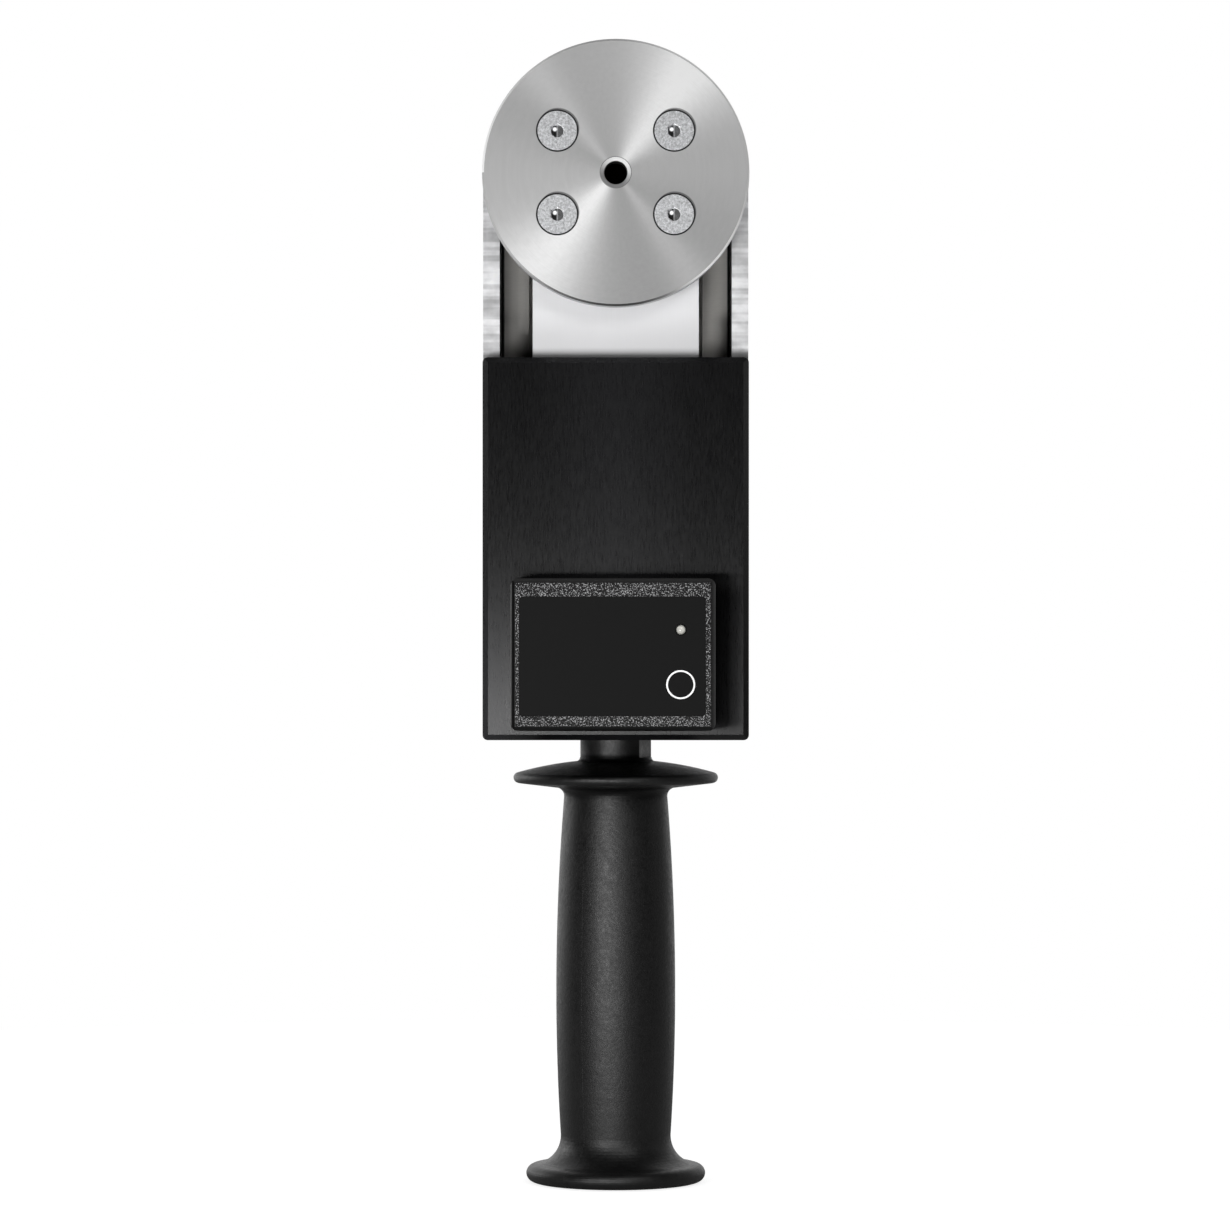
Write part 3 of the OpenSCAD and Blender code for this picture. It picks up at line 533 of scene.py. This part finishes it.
def label_film():
    """The label and the key's top: an even matt film."""
    f = Finish("label_film")
    fine = f.noise(0.2)
    base = f.tint(1.0 + fine.swing(0.1), tone(22, 22, 22))
    return f.surface(base, 0.55, 0.0, f.bump(fine, 0.002), Specular_IOR_Level=0.05)


def printed_white():
    """The key's printed ring."""
    f = Finish("printed_white")
    fine = f.noise(0.15)
    return f.surface(f.tint(0.95 + fine.swing(0.06), tone(250, 250, 250)), 0.5)


def lamp_lens():
    """The status lamp: a milky dome, with painted shade round its side."""
    f = Finish("lamp_lens")
    cloud = f.noise(1.2, detail=1.0)
    side = f.facing("Y").ramp_up(-0.85, -0.3)
    dome = f.tint(0.84 + cloud.swing(0.8), tone(206, 205, 198))
    return f.surface(f.mix(side, dome, tone(60, 60, 60)), 0.18, 0.0, Coat_Weight=0.6)


# Finishes of the pieces inside

def bored_metal():
    """The head's block: satin, with painted shade down in its bore."""
    f = Finish("bored_metal")
    fine = f.noise(0.5)
    radius = from_disc_middle(f)[1]
    bore = radius.ramp_down(MOUTH_R, MOUTH_R + 0.2 * MM)
    satin = f.tint(0.95 + fine.swing(0.12), tone(200, 201, 204))
    return f.surface(f.mix(bore, satin, tone(10, 10, 10)), 0.42, 1.0, f.bump(fine, 0.004))


def plain(name, colour, rough, metal=0.0, size=0.5):
    """A plain finish with a little grain."""
    f = Finish(name)
    fine = f.noise(size)
    cloud = f.noise(size * 12, detail=1.0)
    base = f.tint(1.0 + fine.swing(0.12) + cloud.swing(0.12), tone(*colour))
    return f.surface(base, rough + fine.swing(0.1), metal, f.bump(fine, 0.004))


def circuit_laminate():
    """Green board with faint traces under its lacquer."""
    f = Finish("circuit_laminate")
    wave = f.node(
        "ShaderNodeTexWave",
        {"bands_direction": "DIAGONAL"},
        {"Vector": f.place, "Scale": 160.0, "Distortion": 6.0, "Detail": 1.0},
        out="Fac",
    )
    traces = wave.ramp_up(0.7, 0.8)
    base = f.mix(traces, tone(20, 84, 52), tone(36, 112, 70))
    return f.surface(base, 0.35, 0.0, f.bump(traces, 0.03))


# Pieces

def paint(material, *names):
    """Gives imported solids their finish."""
    for name in names:
        materials = NODES[name].data.materials
        materials.clear()
        materials.append(material)


def piece(name, mesh, material):
    """A new object in the scene, with the finish given."""
    made = bpy.data.objects.new(name, mesh)
    bpy.context.scene.collection.objects.link(made)
    mesh.materials.clear()
    mesh.materials.append(material)
    return made


LEAF_ROWS = 26


def bending_leaf(node, material):
    """A copy of a leaf, cut into rows between the anchor and the head, in place of the imported
    one.
    """
    mesh = NODES[node].data.copy()
    shape = bmesh.new()
    shape.from_mesh(mesh)
    for row in range(LEAF_ROWS + 1):
        height = ANCHOR_TOP + (HEAD_BOTTOM - ANCHOR_TOP) * row / LEAF_ROWS
        everything = shape.verts[:] + shape.edges[:] + shape.faces[:]
        bmesh.ops.bisect_plane(
            shape, geom=everything, plane_co=(0, 0, height), plane_no=(0, 0, 1)
        )
    shape.to_mesh(mesh)
    shape.free()
    made = piece(node + "_bent", mesh, material)
    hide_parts(node)
    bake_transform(made)


KEY_RING_R = 4.3 * MM
KEY_RING_LINE = 0.5 * MM
KEY_RING_THICK = 0.03 * MM
KEY_RING_STEPS = 96


def key_ring():
    """The thin ring printed on the key, which faces -Y."""
    middle = (KEY_LOW + KEY_HIGH) / 2
    inner = KEY_RING_R - KEY_RING_LINE
    back = KEY_LOW.y
    face = back - KEY_RING_THICK
    shape = bmesh.new()
    loops = []
    for radius, y in ((inner, back), (inner, face), (KEY_RING_R, face), (KEY_RING_R, back)):
        loop = []
        for step in range(KEY_RING_STEPS):
            turn = math.tau * step / KEY_RING_STEPS
            x = middle.x + radius * math.cos(turn)
            z = middle.z + radius * math.sin(turn)
            loop.append(shape.verts.new((x, y, z)))
        loops.append(loop)
    for first, second in zip(loops, loops[1:] + loops[:1]):
        for step in range(KEY_RING_STEPS):
            after = (step + 1) % KEY_RING_STEPS
            shape.faces.new((first[step], first[after], second[after], second[step]))
    bmesh.ops.recalc_face_normals(shape, faces=shape.faces[:])
    mesh = bpy.data.meshes.new("key_ring_print")
    shape.to_mesh(mesh)
    shape.free()
    made = piece("key_ring_print", mesh, printed_white())
    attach(made, "key")


paint(turned_aluminium(), "contact_disc")
paint(bright_screw(), "disc_screws")
paint(milled_aluminium(), "frame_channel")
paint(brushed_black(), "front_cover")
paint(moulded_black(), "handle")
paint(sparked_black(), "box_lid")
paint(label_film(), "label_foil", "key_cap")
paint(lamp_lens(), "status_led")
paint(plain("box_plastic_smooth", (27, 27, 28), 0.42), "box_base")
paint(
    plain("block_metal", (200, 201, 204), 0.42, 1.0),
    "anchor_block", "anchor_spacer", "root_clamp_plate", "head_pad", "head_clamp_plate",
)
paint(bored_metal(), "head_block")
paint(
    plain("black_screw", (52, 52, 56), 0.4, 1.0),
    "anchor_screws", "cover_screws", "root_clamp_screws", "head_clamp_screws",
    "stop_screws", "box_fixing_screws",
)
paint(
    plain("plated_screw", (200, 200, 202), 0.34, 1.0),
    "handle_stud", "cover_standoffs", "board_screws",
)
paint(plain("grommet_rubber", (24, 24, 24), 0.7), "lead_grommet")
paint(plain("lead_sheath", (138, 140, 145), 0.55), "gauge_lead")
paint(plain("gauge_foil", (196, 140, 66), 0.4, size=0.3), "strain_gauges")
paint(plain("terminal_resin", (188, 162, 104), 0.6), "gauge_terminal")
paint(circuit_laminate(), "main_board")
paint(plain("chip_resin", (42, 42, 44), 0.55), "board_chips", "battery_holder", "tact_switch")
paint(plain("shield_tin", (198, 199, 200), 0.35, 1.0), "radio_module", "battery")
paint(plain("connector_nylon", (226, 222, 210), 0.55), "lead_connector")
paint(plain("plunger_plastic", (124, 124, 128), 0.5), "switch_plunger")

GROUND_STEEL = ground_steel()
bending_leaf("spring_leaf_front", GROUND_STEEL)
bending_leaf("spring_leaf_rear", GROUND_STEEL)
key_ring()


# Room, lamps and camera

FLOOR_R = 0.6
FLOOR_DROP = 0.2 * MM
FLOOR_TONE = (0.4, 0.4, 0.4)
FLOOR_GLOW = (0.8, 0.8, 0.8)
ROOM_BEHIND = 1.19
ROOM_DIFFUSE = 0.49
GAUGE_MIDDLE = (0, 0, 0.2)


def floor():
    """A pale floor, lighter to the camera, that keeps the object's shadow."""
    bpy.ops.mesh.primitive_circle_add(
        vertices=96, radius=FLOOR_R, fill_type="NGON", location=(0, 0, -FLOOR_DROP)
    )
    made = bpy.context.object
    made.name = "floor"
    f = Finish("pale_floor")
    seen = f.node("ShaderNodeLightPath", out="Is Camera Ray")
    f.glow(f.tint(seen, FLOOR_GLOW))
    base = f.tint(0.99 + f.noise(30.0).swing(0.01), FLOOR_TONE)
    made.data.materials.append(f.surface(base, 0.9, Specular_IOR_Level=0.0))


def world():
    """White behind the object, to the camera and in its gleam. The room in front is dark."""
    made = bpy.data.worlds.new("studio")
    bpy.context.scene.world = made
    made.use_nodes = True
    s = Shading(made.node_tree)
    place = s.node("ShaderNodeTexCoord", out="Generated")
    behind = s.node("ShaderNodeSeparateXYZ", inputs={"Vector": place}, out="Y")
    seen = s.node("ShaderNodeLightPath", out="Is Camera Ray")
    diffuse = seen.beside("Is Diffuse Ray")
    aside = 1 - behind.beside("X") * 0.4
    mirrored = behind.ramp_up(0.1, 1.0) * aside * ROOM_BEHIND
    level = seen + (1 - seen) * (diffuse * ROOM_DIFFUSE + (1 - diffuse) * mirrored)
    ground = s.tree.nodes["Background"]
    ground.inputs["Color"].default_value = (1, 1, 1, 1)
    s.feed(ground.inputs["Strength"], level)


def lamp(name, place, width, height, power, target=GAUGE_MIDDLE):
    """A soft rectangle of light, in metres and watts, aimed at a place."""
    data = bpy.data.lights.new(name, "AREA")
    data.shape = "RECTANGLE"
    data.size = width
    data.size_y = height
    data.energy = power
    made = bpy.data.objects.new(name, data)
    bpy.context.scene.collection.objects.link(made)
    made.location = place
    aim = Vector(target) - Vector(place)
    made.rotation_euler = aim.to_track_quat("-Z", "Y").to_euler()
    made.visible_camera = False


def camera():
    """Level, at the height that the photograph shows, far enough for its perspective."""
    data = bpy.data.cameras.new("camera")
    data.sensor_width = 36.0
    data.lens = 144.1
    data.clip_start = 0.05
    data.clip_end = 20.0
    made = bpy.data.objects.new("camera", data)
    bpy.context.scene.collection.objects.link(made)
    made.location = (-0.00022, -1.4975, 0.1721)
    made.rotation_euler = (math.pi / 2, 0, 0)
    bpy.context.scene.camera = made


floor()
world()
lamp("key_light", (-0.155, -0.46, 0.114), 0.09, 0.05, 0.58, target=(0, 0, 0.15))
lamp("low_light", (-0.03, -0.5, 0.035), 0.14, 0.06, 0.52)
lamp("left_light", (-0.6, -1.0, 0.045), 0.3, 0.08, 2.4)
lamp("upper_light", (0.37, -1.12, 0.8), 0.54, 0.48, 3.4)
lamp("left_rim_light", (-1.151, 0.665, 0.434), 0.48, 0.48, 2.0)
lamp("right_rim_light", (1.33, 0, 0.434), 0.48, 0.48, 0.55)
camera()
bpy.context.scene.view_settings.view_transform = "Standard"
